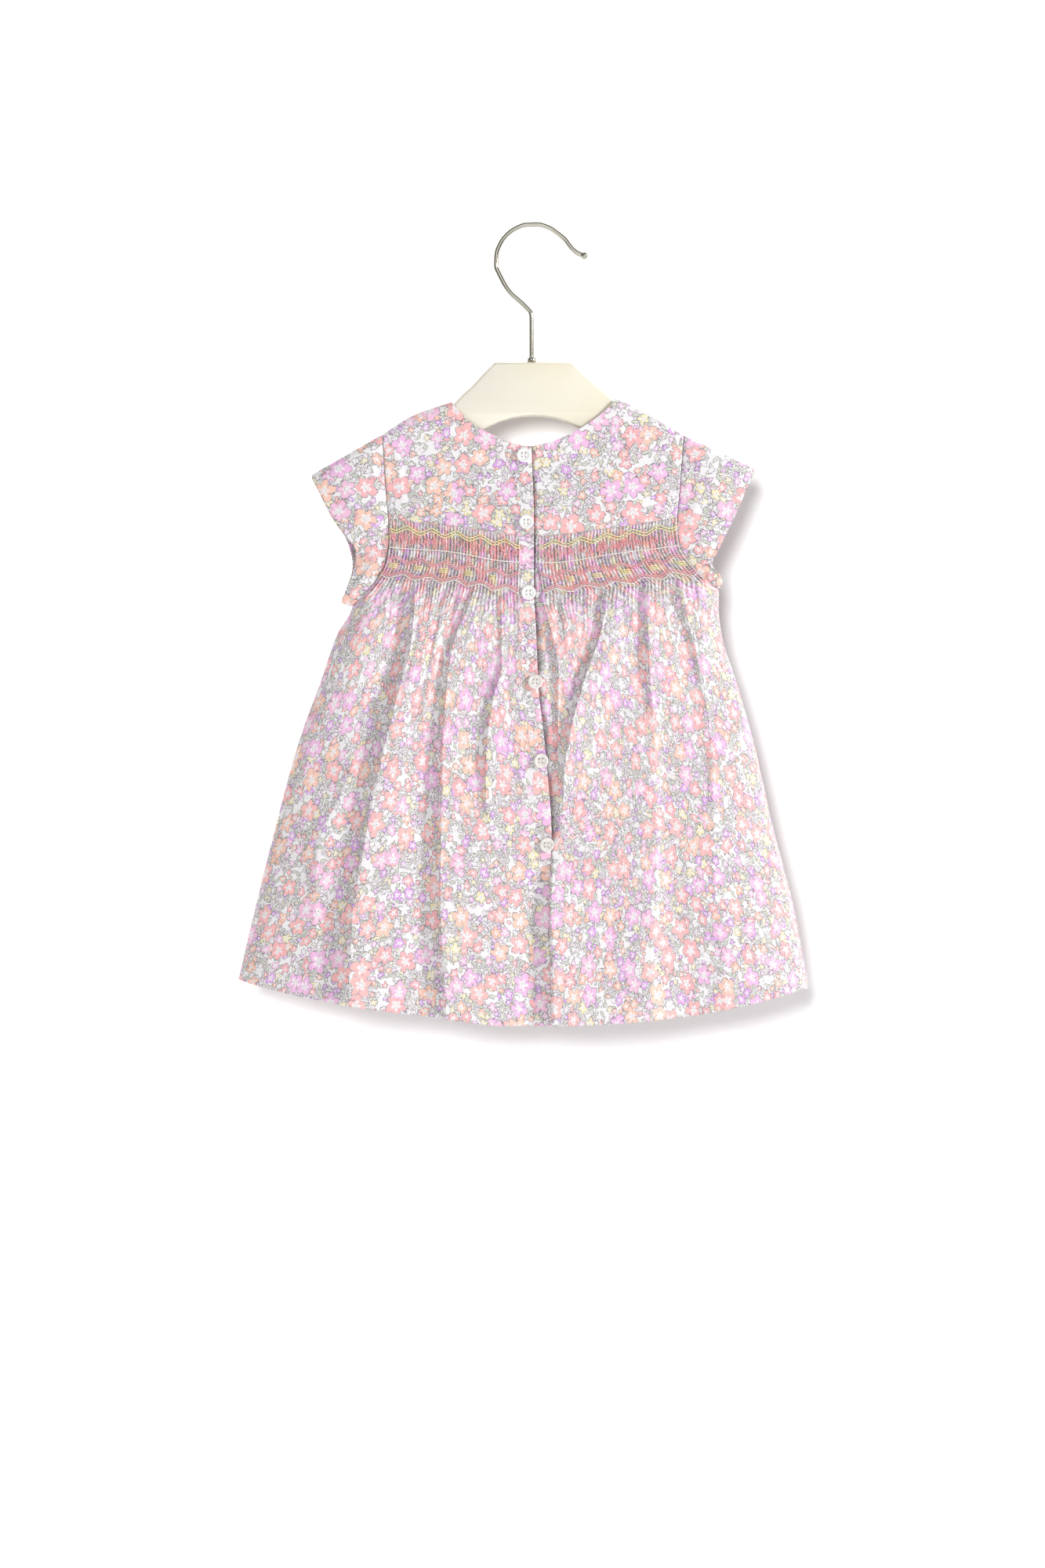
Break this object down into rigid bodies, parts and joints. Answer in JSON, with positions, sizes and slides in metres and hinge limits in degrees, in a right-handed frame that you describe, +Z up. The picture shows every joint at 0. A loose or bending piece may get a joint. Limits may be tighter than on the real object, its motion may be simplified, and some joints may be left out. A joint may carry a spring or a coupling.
{
  "type": "smocked dress on hanger",
  "caption": "Baby's short-sleeved smocked cotton dress, buttoned down its back, hanging on a small moulded hanger with a wire hook.",
  "frame": {"origin": "the top of the hook's bend, at its centre, where it rests on a rail", "axes": "+Z up, +X across the shoulders to the right in the picture, -Y towards the viewer, who sees the dress's back"},
  "size_m": [0.3639, 0.0661, 0.5115],
  "materials": {
    "printed_poplin": "matt printed cotton poplin",
    "pearly_button": "pearly shirt button",
    "cream_moulded_hanger": "satin cream moulding",
    "chromed_wire": "bright chrome"
  },
  "bodies": {
    "root": {"back_yoke_left": "printed_poplin", "back_yoke_right": "printed_poplin", "front_yoke": "printed_poplin", "back_skirt_left": "printed_poplin", "back_skirt_right": "printed_poplin", "front_skirt": "printed_poplin", "sleeve_left": "printed_poplin", "sleeve_right": "printed_poplin", "button_1": "pearly_button", "button_2": "pearly_button", "button_3": "pearly_button", "button_4": "pearly_button", "button_5": "pearly_button", "button_6": "pearly_button", "hanger_body": "cream_moulded_hanger", "hanger_hook": "chromed_wire", "hook_collar": "chromed_wire"}
  },
  "joints": []
}
